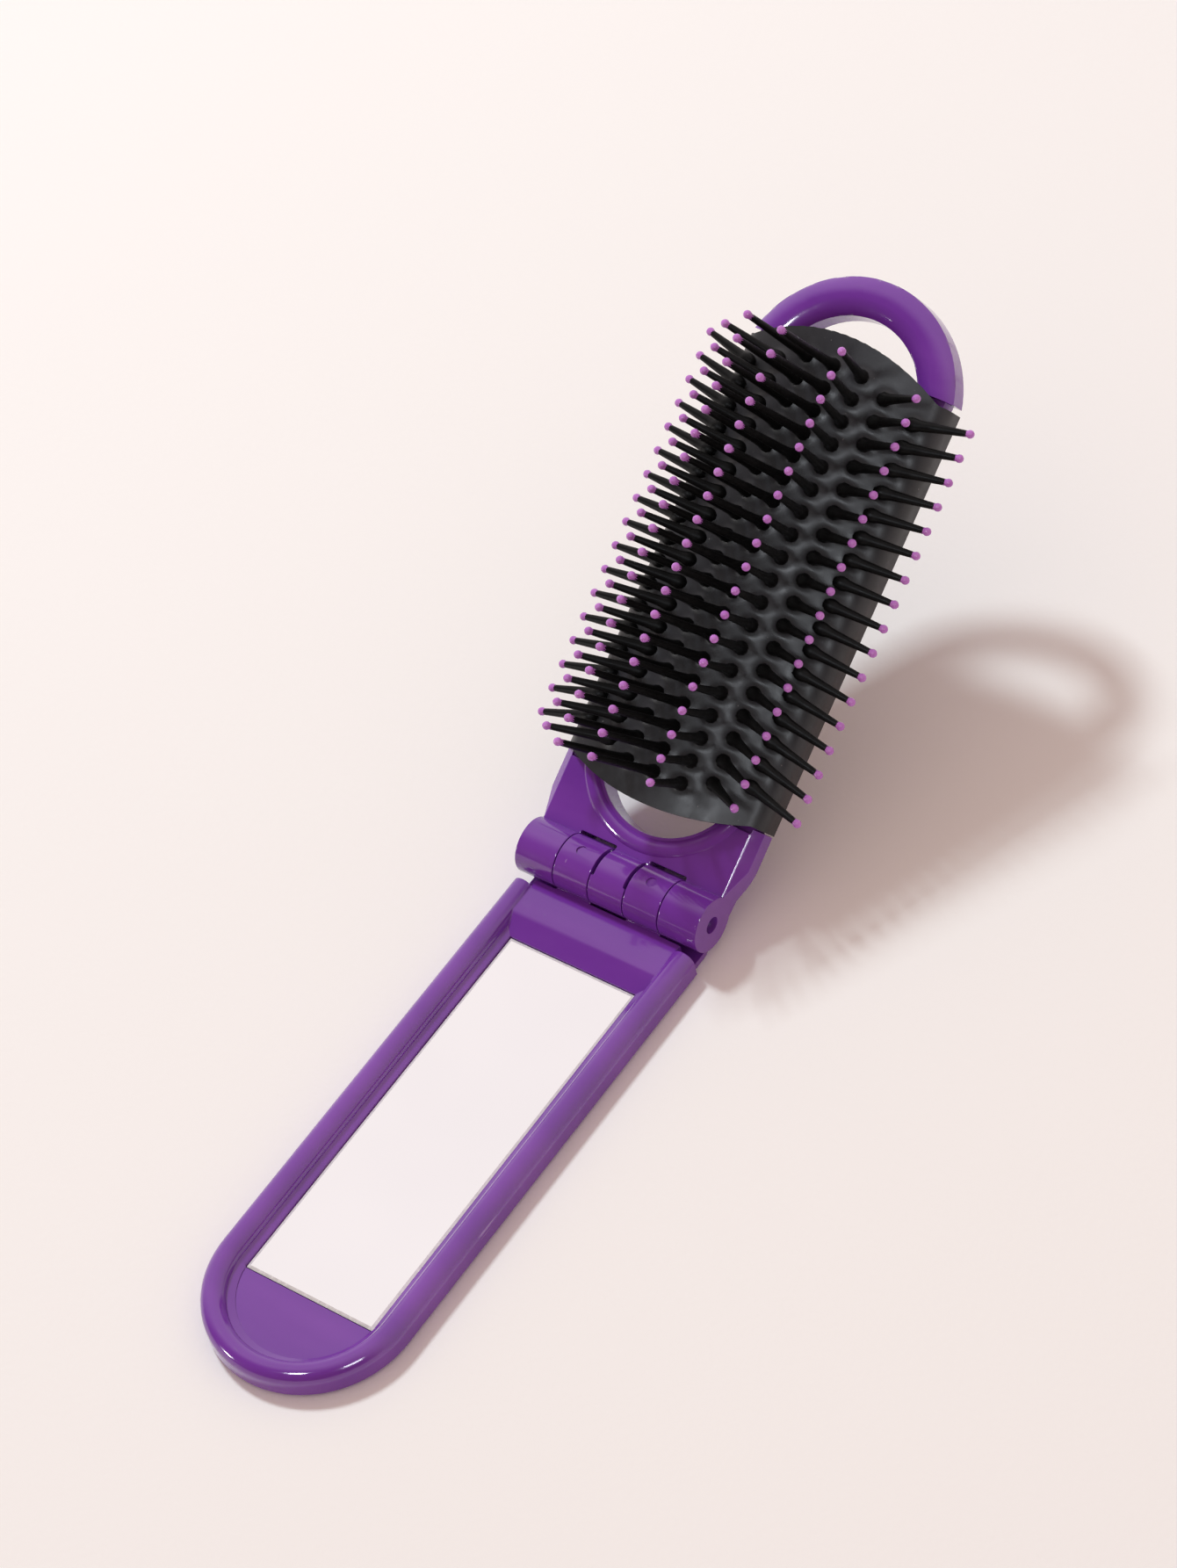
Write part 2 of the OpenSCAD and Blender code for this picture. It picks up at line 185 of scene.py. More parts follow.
def copy_of_node(node: str, name: str) -> bpy.types.Object:
    """Makes a welded copy of a CAD node's mesh as a new object, with its flat faces whole again.

    Args:
        node: The CAD node.
        name: The new object's name.

    Returns:
        The new object, at the origin.
    """
    piece = bpy.data.objects.new(name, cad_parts[node].data.copy())
    piece.data.name = name
    bpy.context.scene.collection.objects.link(piece)
    pick(piece)
    bpy.ops.mesh.customdata_custom_splitnormals_clear()
    piece.data.materials.clear()
    edit(
        piece,
        lambda: bpy.ops.mesh.remove_doubles(threshold=WELD),
        lambda: bpy.ops.mesh.dissolve_limited(angle_limit=math.radians(FLAT)),
    )
    return piece


def weigh_edges(piece: bpy.types.Object, width: float, crease: float, plain_x: float | None) -> None:
    """Marks the edges to round: the sharp ones, save those of a plain wall and of faces too narrow for it.

    Args:
        piece: The moulding.
        width: The width of the rounding, in millimetres.
        crease: The angle past which an edge is rounded, in degrees.
        plain_x: Where along the piece the plain wall stands, in millimetres, if it has one.
    """
    mesh = piece.data
    sides: dict[tuple[int, int], list[bpy.types.MeshPolygon]] = {}
    for face in mesh.polygons:
        for key in face.edge_keys:
            sides.setdefault(key, []).append(face)
    weights = mesh.attributes.new("bevel_weight_edge", "FLOAT", "EDGE")
    for edge in mesh.edges:
        faces = sides.get(edge.key, [])
        a, b = (mesh.vertices[i].co for i in edge.vertices)
        sharp = len(faces) == 2 and faces[0].normal.angle(faces[1].normal) > math.radians(crease)
        narrow = any(face.area < NARROW * width * MM * (a - b).length for face in faces)
        plain = plain_x is not None and max(abs(co.x / MM - plain_x) for co in (a, b)) < ON_WALL
        weights.data[edge.index].value = float(sharp and not narrow and not plain)


def round_edges(piece: bpy.types.Object, width: float, crease: float, plain_x: float | None = None) -> None:
    """Rounds a moulding's edges and shades it, with its flat faces kept flat.

    Args:
        piece: The moulding.
        width: The width of the rounding, in millimetres.
        crease: The angle past which an edge is rounded, in degrees.
        plain_x: Where along the piece a wall keeps its sharp edges, in millimetres, if it has one.
    """
    weigh_edges(piece, width, crease, plain_x)
    mesh = piece.data
    skin = BVHTree.FromPolygons([v.co.copy() for v in mesh.vertices], [p.vertices for p in mesh.polygons])
    apply_modifier(
        piece, "BEVEL", width=width * MM, segments=2, limit_method="WEIGHT",
        use_clamp_overlap=False, miter_outer="MITER_ARC",
    )
    strays = 0
    for vertex in piece.data.vertices:
        nearest, _, _, distance = skin.find_nearest(vertex.co)
        if distance > STRAY * width * MM:
            vertex.co, strays = nearest, strays + 1
    log.info("%s: %d stray points put back on the surface", piece.name, strays)
    smooth(piece, crease)
    apply_modifier(piece, "WEIGHTED_NORMAL", keep_sharp=True, weight=FACE_PULL)


def joined(parts: list[bpy.types.Object], name: str) -> bpy.types.Object:
    """Joins objects into one.

    Args:
        parts: The objects.
        name: The name of the one that stays.

    Returns:
        The joined object.
    """
    pick(parts[0])
    for part in parts:
        part.select_set(True)
    bpy.ops.object.join()
    parts[0].name = parts[0].data.name = name
    return parts[0]


def fit(piece: bpy.types.Object, body: Body, slot: Slot, finish: bpy.types.Material, *nodes: str) -> None:
    """Dresses a finished piece and puts it on its body in place of its CAD nodes.

    Args:
        piece: The finished object, at the origin.
        body: The body that it rides on.
        slot: The record's material slot; not used.
        finish: Its material.
        nodes: The CAD nodes that it stands for.
    """
    piece.data.materials.clear()
    piece.data.materials.append(finish)
    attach(piece, body.value)
    if nodes:
        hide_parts(*nodes)
    faces = sum(len(p.vertices) - 2 for p in piece.data.polygons)
    log.info("%s rides on %s, %d triangles", piece.name, body.value, faces)


# Finishes -------------------------------------------------------------------------------------

USUAL = (0.3, 0.7)  # Where a noise pattern's usual range starts and ends.
CORE = (0.35, 0.65)  # The same for the core of that range, which gives more contrast.


class Shader:
    """A material's node tree, with short calls for the nodes that the finishes share."""

    def __init__(self, name: str) -> None:
        """Starts a material with a Principled shader.

        Args:
            name: The material's name.
        """
        self.material = bpy.data.materials.new(name)
        self.material.use_nodes = True
        self.tree = self.material.node_tree
        self.surface = self.tree.nodes["Principled BSDF"]
        self.place = self.add("ShaderNodeTexCoord").outputs["Object"]

    def add(self, kind: str, **settings: object) -> bpy.types.Node:
        """Adds a node.

        Args:
            kind: Its type.
            settings: Its properties by name.

        Returns:
            The node.
        """
        node = self.tree.nodes.new(kind)
        for name, value in settings.items():
            setattr(node, name, value)
        return node

    def link(self, output: bpy.types.NodeSocket, socket: bpy.types.NodeSocket) -> None:
        """Links an output to an input.

        Args:
            output: The socket that gives the value.
            socket: The socket that takes it.
        """
        self.tree.links.new(output, socket)

    def stretched(self, scale: tuple[float, float, float], turn: float = 0) -> bpy.types.NodeSocket:
        """Returns object coordinates, stretched and turned.

        Args:
            scale: The scale along each axis.
            turn: The angle about Z, in degrees.

        Returns:
            The socket with the coordinates.
        """
        node = self.add("ShaderNodeMapping")
        node.inputs["Scale"].default_value = scale
        node.inputs["Rotation"].default_value = (0, 0, math.radians(turn))
        self.link(self.place, node.inputs["Vector"])
        return node.outputs["Vector"]

    def noise(
        self, scale: float, detail: float = 4, at: bpy.types.NodeSocket | None = None
    ) -> bpy.types.NodeSocket:
        """Returns a noise pattern.

        Args:
            scale: Its scale, in cells per metre.
            detail: Its octaves.
            at: The coordinates, or None for the object's own.

        Returns:
            The socket with the pattern, about 0.5 in the middle.
        """
        node = self.add("ShaderNodeTexNoise")
        node.inputs["Scale"].default_value = scale
        node.inputs["Detail"].default_value = detail
        self.link(at or self.place, node.inputs["Vector"])
        return node.outputs["Fac"]

    def ramp(
        self, value: bpy.types.NodeSocket, low: float, high: float, first: Colour, last: Colour
    ) -> bpy.types.NodeSocket:
        """Returns a colour that runs from one to another as a value goes from low to high.

        Args:
            value: The value.
            low: Where the first colour ends.
            high: Where the last colour starts.
            first: The first colour, linear.
            last: The last colour, linear.

        Returns:
            The colour socket.
        """
        node = self.add("ShaderNodeValToRGB")
        start, end = node.color_ramp.elements
        start.position, end.position = low, high
        start.color, end.color = (*first, 1), (*last, 1)
        self.link(value, node.inputs["Fac"])
        return node.outputs["Color"]

    def mix(
        self, share: bpy.types.NodeSocket, under: bpy.types.NodeSocket, over: Colour
    ) -> bpy.types.NodeSocket:
        """Returns a colour with another laid over it by a share.

        Args:
            share: How much of the upper colour shows.
            under: The lower colour.
            over: The upper colour, linear.

        Returns:
            The colour socket.
        """
        node = self.add("ShaderNodeMix", data_type="RGBA")
        self.link(share, node.inputs["Factor"])
        self.link(under, node.inputs["A"])
        node.inputs["B"].default_value = (*over, 1)
        return node.outputs["Result"]

    def grey(self, value: bpy.types.NodeSocket, low: float, high: float) -> bpy.types.NodeSocket:
        """Returns a value that runs from low to high over a noise pattern's usual range.

        Args:
            value: The pattern.
            low: The value at its dark parts.
            high: The value at its light parts.

        Returns:
            The socket with the value.
        """
        node = self.add("ShaderNodeMapRange")
        node.inputs["From Min"].default_value, node.inputs["From Max"].default_value = USUAL
        node.inputs["To Min"].default_value, node.inputs["To Max"].default_value = low, high
        self.link(value, node.inputs["Value"])
        return node.outputs["Result"]

    def bump(self, *layers: tuple[bpy.types.NodeSocket, float]) -> None:
        """Lays bumps over each other.

        Args:
            layers: For each bump, its height pattern and its depth in metres.
        """
        last = None
        for height, depth in layers:
            node = self.add("ShaderNodeBump")
            node.inputs["Distance"].default_value = depth
            self.link(height, node.inputs["Height"])
            if last:
                self.link(last, node.inputs["Normal"])
            last = node.outputs["Normal"]
        self.link(last, self.surface.inputs["Normal"])

    def set(self, **values: float) -> None:
        """Sets the shader's own sockets.

        Args:
            values: The sockets' values by name, with underscores for spaces.
        """
        for name, value in values.items():
            self.surface.inputs[name.replace("_", " ")].default_value = value


@dataclass(frozen=True)
class VioletPlastic:
    """Glossy moulded plastic with faint flow marks, a soft skin and a few hair scratches."""

    name: str = "violet_plastic"
    deep: Colour = (0.160, 0.030, 0.340)
    light: Colour = (0.200, 0.045, 0.395)
    scratch: Colour = (0.40, 0.24, 0.56)
    roughness: tuple[float, float] = (0.10, 0.18)

    def material(self) -> bpy.types.Material:
        """Returns the material."""
        s = Shader(self.name)
        flow = s.noise(90, 3, s.stretched((1, 0.25, 1), 20))
        base = s.ramp(flow, *CORE, self.deep, self.light)
        hairs = s.noise(700, 2, s.stretched((0.04, 1, 1), 52))
        mask = s.ramp(hairs, 0.75, 0.765, (0, 0, 0), (0.5, 0.5, 0.5))
        s.link(s.mix(mask, base, self.scratch), s.surface.inputs["Base Color"])
        s.link(s.grey(s.noise(260, 5), *self.roughness), s.surface.inputs["Roughness"])
        s.bump((s.noise(160, 2), 5e-5), (s.noise(2600, 3), 3e-6))
        s.set(Coat_Weight=0.5, Coat_Roughness=0.05, IOR=1.5)
        return s.material


@dataclass(frozen=True)
class BlackRubber:
    """Satin black rubber with a fine grain, a bloom of wear and specks of dust."""

    name: str = "black_rubber"
    deep: Colour = (0.012, 0.012, 0.014)
    light: Colour = (0.020, 0.020, 0.025)
    dust: Colour = (0.20, 0.19, 0.19)
    roughness: tuple[float, float] = (0.36, 0.48)

    def material(self) -> bpy.types.Material:
        """Returns the material."""
        s = Shader(self.name)
        base = s.ramp(s.noise(140, 4), *CORE, self.deep, self.light)
        specks = s.ramp(s.noise(1700, 1), 0.80, 0.82, (0, 0, 0), (0.7, 0.7, 0.7))
        s.link(s.mix(specks, base, self.dust), s.surface.inputs["Base Color"])
        s.link(s.grey(s.noise(420, 4), *self.roughness), s.surface.inputs["Roughness"])
        s.bump((s.noise(380, 2), 2e-5), (s.noise(3200, 4), 1e-5))
        s.set(IOR=1.5)
        return s.material


@dataclass(frozen=True)
class Nylon:
    """Smooth moulded nylon, for the pins and their beads."""

    name: str
    deep: Colour
    light: Colour
    roughness: tuple[float, float]
    gloss: float = 0.5

    def material(self) -> bpy.types.Material:
        """Returns the material."""
        s = Shader(self.name)
        base = s.ramp(s.noise(400, 3), *CORE, self.deep, self.light)
        s.link(base, s.surface.inputs["Base Color"])
        s.link(s.grey(s.noise(900, 3), *self.roughness), s.surface.inputs["Roughness"])
        s.bump((s.noise(2200, 2), 4e-6))
        s.set(IOR=1.53, Specular_IOR_Level=self.gloss)
        return s.material


@dataclass(frozen=True)
class Silvering:
    """The mirror: silvered glass, with faint wipe marks in its gloss."""

    name: str = "silvered_glass"
    tint: Colour = (0.96, 0.95, 0.95)
    faint: Colour = (0.93, 0.92, 0.925)

    def material(self) -> bpy.types.Material:
        """Returns the material."""
        s = Shader(self.name)
        base = s.ramp(s.noise(35, 2), *USUAL, self.faint, self.tint)
        s.link(base, s.surface.inputs["Base Color"])
        wipes = s.noise(60, 4, s.stretched((0.3, 1, 1), 35))
        s.link(s.grey(wipes, 0.012, 0.035), s.surface.inputs["Roughness"])
        s.set(Metallic=1.0)
        return s.material


@dataclass(frozen=True)
class GroundGlass:
    """The ground bevel and sides of the mirror, with the fine marks of the wheel."""

    name: str = "ground_glass_edge"
    deep: Colour = (0.74, 0.73, 0.74)
    light: Colour = (0.84, 0.83, 0.84)

    def material(self) -> bpy.types.Material:
        """Returns the material."""
        s = Shader(self.name)
        marks = s.noise(1500, 3)
        s.link(s.ramp(marks, *CORE, self.deep, self.light), s.surface.inputs["Base Color"])
        s.link(s.grey(marks, 0.16, 0.30), s.surface.inputs["Roughness"])
        s.bump((marks, 2e-6))
        s.set(Metallic=0.15)
        return s.material


@dataclass(frozen=True)
class Steel:
    """Drawn steel wire of the hinge pin, with rings left by the drawing."""

    name: str = "drawn_steel"
    deep: Colour = (0.42, 0.41, 0.40)
    light: Colour = (0.58, 0.57, 0.56)

    def material(self) -> bpy.types.Material:
        """Returns the material."""
        s = Shader(self.name)
        rings = s.noise(900, 3, s.stretched((0.2, 1, 0.2)))
        s.link(s.ramp(rings, *USUAL, self.deep, self.light), s.surface.inputs["Base Color"])
        s.link(s.grey(rings, 0.28, 0.42), s.surface.inputs["Roughness"])
        s.bump((rings, 1e-5))
        s.set(Metallic=1.0)
        return s.material


@dataclass(frozen=True)
class Foam:
    """White foam of the adhesive pad, with its open cells."""

    name: str = "white_foam"
    deep: Colour = (0.66, 0.64, 0.61)
    light: Colour = (0.80, 0.79, 0.77)

    def material(self) -> bpy.types.Material:
        """Returns the material."""
        s = Shader(self.name)
        cells = s.noise(2600, 4)
        s.link(s.ramp(cells, *USUAL, self.deep, self.light), s.surface.inputs["Base Color"])
        s.bump((cells, 4e-5))
        s.set(Roughness=0.85)
        return s.material


# Sub-assemblies -------------------------------------------------------------------------------


@dataclass
class Handle:
    """The handle half: its moulding, the mirror on its adhesive pad, and the hinge pin."""

    edge_round: float = 0.16
    crease: float = 32
    pocket_x: float = -14.2
    face_up: float = 0.99
    glass_crease: float = 15

    def build(self, plastic: bpy.types.Material) -> None:
        """Builds and dresses the handle's pieces.

        Args:
            plastic: The violet plastic.
        """
        moulding = copy_of_node("handle_frame", "handle_moulding")
        round_edges(moulding, self.edge_round, self.crease, self.pocket_x)
        fit(moulding, Body.HANDLE, Slot.HANDLE, plastic, "handle_frame")
        self.build_mirror()
        self.dress_nodes()

    def build_mirror(self) -> None:
        """Builds and dresses the mirror, silvered on its face and ground along its edges."""
        mirror = copy_of_node("mirror_glass", "mirror_plate")
        fit(mirror, Body.HANDLE, Slot.MIRROR, Silvering().material(), "mirror_glass")
        mirror.data.materials.append(GroundGlass().material())
        for face in mirror.data.polygons:
            face.material_index = int(face.normal.z < self.face_up)
        smooth(mirror, self.glass_crease)

    def dress_nodes(self) -> None:
        """Gives the CAD nodes that stay as they are their finishes."""
        finishes = {
            "mirror_tape": Foam().material(),
            "hinge_pin": Steel().material(),
        }
        for node, finish in finishes.items():
            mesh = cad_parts[node].data
            mesh.materials.clear()
            mesh.materials.append(finish)
            log.info("%s stays, finished as %s", node, finish.name)


@dataclass
class BrushFrame:
    """The brush half's moulding: its body with the round cut-out, side rails, loop and knuckles."""

    edge_round: float = 0.18
    crease: float = 32

    def build(self, plastic: bpy.types.Material) -> None:
        """Builds and dresses the moulding.

        Args:
            plastic: The violet plastic.
        """
        moulding = copy_of_node("brush_frame", "brush_moulding")
        round_edges(moulding, self.edge_round, self.crease)
        fit(moulding, Body.BRUSH, Slot.FRAME, plastic, "brush_frame")


@dataclass
class Arch:
    """The pad's outer face: an arch that runs into a roll along each side, in the brush half's axes."""

    half_w: float = 18.5
    crown_z: float = 5.0
    roll_r: float = 4.0
    roll_z: float = -1.7
    skirt_z: float = -4.0
    lip_len: float = 3.5
    radius: float = field(init=False)
    centre_z: float = field(init=False)
    meet: float = field(init=False)

    def __post_init__(self) -> None:
        """Works out the arch's radius, centre and the angle at which it meets the rolls."""
        y, rise = self.half_w - self.roll_r, self.crown_z - self.roll_z
        self.radius = (y * y + rise * rise - self.roll_r**2) / (2 * (rise - self.roll_r))
        self.centre_z = self.crown_z - self.radius
        self.meet = math.asin(y / (self.radius - self.roll_r))

    def lengths(self) -> tuple[float, float, float, float]:
        """Returns the lengths of half the arch, the roll, the skirt and the lip."""
        return (
            self.radius * self.meet, self.roll_r * (math.pi / 2 - self.meet),
            self.roll_z - self.skirt_z, self.lip_len,
        )

    def point(self, s: float) -> tuple[float, float, float, float]:
        """Finds a point of the face by its distance along the section from the crown.

        Args:
            s: The distance, negative on the -y side.

        Returns:
            y and z of the point, and y and z of the face's outward normal there.
        """
        side, d = (-1 if s < 0 else 1), abs(s)
        arch, roll, skirt, _ = self.lengths()
        if d <= arch:
            a = d / self.radius
            y, z = self.radius * math.sin(a), self.centre_z + self.radius * math.cos(a)
            return side * y, z, side * math.sin(a), math.cos(a)
        if d <= arch + roll:
            a = self.meet + (d - arch) / self.roll_r
            y = self.half_w - self.roll_r + self.roll_r * math.sin(a)
            return side * y, self.roll_z + self.roll_r * math.cos(a), side * math.sin(a), math.cos(a)
        if d <= arch + roll + skirt:
            return side * self.half_w, self.roll_z - (d - arch - roll), side, 0.0
        return side * (self.half_w - (d - arch - roll - skirt)), self.skirt_z, 0.0, -1.0


@dataclass
class Layout:
    """Where the seven rows of pins stand on the pad and where their tips are, in the brush half's axes."""

    arch: Arch
    row_y: tuple[float, ...] = (0, 5, 9.8, 15.1)
    tip_y: tuple[float, ...] = (0, 8.55, 17.5, 23.9)
    tip_z: tuple[float, ...] = (25.5, 21.3, 10.2, 1.7)
    counts: tuple[int, ...] = (19, 19, 18, 17)
    pitch: float = 3.74
    tip_pitches: tuple[float, ...] = (3.85, 3.89, 3.94, 4.0)
    tip_leans: tuple[float, ...] = (0.75, 0.4, 0.35, 0.1)
    middle: float = 51.3

    def side(self, row: int) -> tuple[int, int]:
        """Returns a row's side of the pad, -1, 0 or 1, and its step from the middle row.

        Args:
            row: The row, 1 to 7.

        Returns:
            The side and the step.
        """
        return (row > MIDDLE_ROW) - (row < MIDDLE_ROW), abs(row - MIDDLE_ROW)

    def lean(self, row: int) -> float:
        """Returns the angle of the arch's normal at a row."""
        side, step = self.side(row)
        return side * math.asin(self.row_y[step] / self.arch.radius)

    def along(self, row: int, i: int, pitch: float) -> float:
        """Returns a pin's distance from the middle of its row.

        Args:
            row: The row, 1 to 7.
            i: The pin in its row.
            pitch: The distance between pins, in millimetres.

        Returns:
            The distance along the row.
        """
        return (i - (self.counts[self.side(row)[1]] - 1) / 2) * pitch

    def foot(self, row: int, i: int, over: float) -> Vector:
        """Finds the point over the pad where a pin stands.

        Args:
            row: The row, 1 to 7.
            i: The pin in its row.
            over: The height over the pad's face.

        Returns:
            The point.
        """
        a, r = self.lean(row), self.arch.radius + over
        x = self.middle + self.along(row, i, self.pitch)
        return Vector((x, r * math.sin(a), self.arch.centre_z + r * math.cos(a)))

    def tip(self, row: int, i: int) -> Vector:
        """Finds the middle of a pin's bead.

        Args:
            row: The row, 1 to 7.
            i: The pin in its row.

        Returns:
            The point.
        """
        side, step = self.side(row)
        x = self.middle - self.tip_leans[step] + self.along(row, i, self.tip_pitches[step])
        return Vector((x, side * self.tip_y[step], self.tip_z[step]))

    def pins(self, row: int) -> range:
        """Returns the numbers of a row's pins."""
        return range(self.counts[self.side(row)[1]])


@dataclass
class Pad:
    """The rubber pad: one arched sheet with flaps at its ends, swollen round the foot of each pin."""

    arch: Arch
    layout: Layout
    near: float = 16.0
    far: float = 85.5
    near_flap: float = 3.4
    far_flap: float = 4.5
    flap_half: float = 16.8
    thickness: float = 1.1
    lip_share: float = 0.82
    lip_blend: float = 0.3
    crease: float = 50
    swell: float = 0.18
    swell_len: float = 0.95
    swell_w: float = 2.1
    swell_up: float = 0.3
    collar: float = 0.28
    collar_size: float = 1.9
    reach: float = 4.0
    fade: float = 1.0
    lip_up: float = -0.5
    ragged: tuple[tuple[float, float], ...] = ((0.05, 7.1), (0.04, 17.3))
    rows_across: int = 121
    rows_along: int = 190
    keep: float = 0.2

    def edge(self, y: float, bulge: float) -> float:
        """Returns how far a flap stands out.

        Args:
            y: The place across the pad.
            bulge: The flap's length in its middle.

        Returns:
            Its length at y.
        """
        if abs(y) >= self.flap_half:
            return 0.0
        r = (self.flap_half**2 + bulge**2) / (2 * bulge)
        return math.sqrt(r * r - y * y) - (r - bulge)

    def swelling(self, x: np.ndarray, s: float) -> np.ndarray:
        """Works out how far the pad is swollen at points of one line along it.

        Args:
            x: The points' distances from the hinge axis.
            s: The line's distance from the crown, along the section.

        Returns:
            The heights over the plain arch.
        """
        height = np.zeros_like(x)
        for row in ROWS:
            across = s - self.arch.radius * self.layout.lean(row)
            if abs(across) > self.reach:
                continue
            for i in self.layout.pins(row):
                dx = x - (self.layout.middle + self.layout.along(row, i, self.layout.pitch))
                ridge = np.exp(-((dx / self.swell_len) ** 2)) * math.exp(-((across / self.swell_w) ** 4))
                collar = np.exp(-(((dx * dx + across * across) / self.collar_size) ** 2))
                height = np.maximum(height, self.swell * ridge + self.collar * collar)
        return height

    def build(self, rubber: bpy.types.Material) -> None:
        """Builds and dresses the pad.

        Args:
            rubber: The black rubber.
        """
        bpy.ops.object.select_all(action="DESELECT")
        bpy.ops.mesh.primitive_grid_add(
            x_subdivisions=self.rows_along - 1, y_subdivisions=self.rows_across - 1, size=1
        )
        pad = bpy.context.object
        pad.name = pad.data.name = "rubber_pad"
        lip = pad.vertex_groups.new(name="wall")
        arch, roll, skirt, _ = self.arch.lengths()
        whole = sum(self.arch.lengths())
        for vertex in pad.data.vertices:
            full = abs(2 * whole * vertex.co.y) < arch + roll + skirt - self.lip_blend
            lip.add([vertex.index], 1.0 if full else self.lip_share, "REPLACE")
        self.lay_out(pad)
        apply_modifier(
            pad, "SOLIDIFY", thickness=self.thickness * MM, offset=-1, vertex_group="wall",
            thickness_vertex_group=0, use_even_offset=True, use_rim=True,
        )
        pad.vertex_groups.clear()
        weld(pad)
        smooth(pad, self.crease)
        fit(pad, Body.BRUSH, Slot.RUBBER, rubber, "bristle_pad")
        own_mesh(pad)

    def lay_out(self, pad: bpy.types.Object) -> None:
        """Moves the grid's points to their places on the arch.

        Args:
            pad: The flat grid.
        """
        whole = sum(self.arch.lengths())
        across: dict[float, list[bpy.types.MeshVertex]] = {}
        for vertex in pad.data.vertices:
            across.setdefault(round(vertex.co.y, 6), []).append(vertex)
        place = AXES.matrix()
        for share, line in across.items():
            s = 2 * whole * share
            y, z, ny, nz = self.arch.point(s)
            near, far = self.near - self.edge(y, self.near_flap), self.far + self.edge(y, self.far_flap)
            if nz < self.lip_up:  # The lips under the rails have no flap.
                near, far = self.near, self.far
            x = np.array([near + (v.co.x + 0.5) * (far - near) for v in line])
            ragged = sum(depth * math.sin(y * rate) for depth, rate in self.ragged)
            x[x > self.far] += ragged * (x[x > self.far] - self.far) / self.far_flap
            fade = np.clip((x - near) / self.fade, 0, 1) * np.clip((far - x) / self.fade, 0, 1)
            height = self.swelling(x, s) * fade if nz > self.swell_up else np.zeros_like(x)
            for vertex, at, up in zip(line, x, height):
                vertex.co = place @ Vector((at, y + ny * up, z + nz * up))
        pad.data.update()


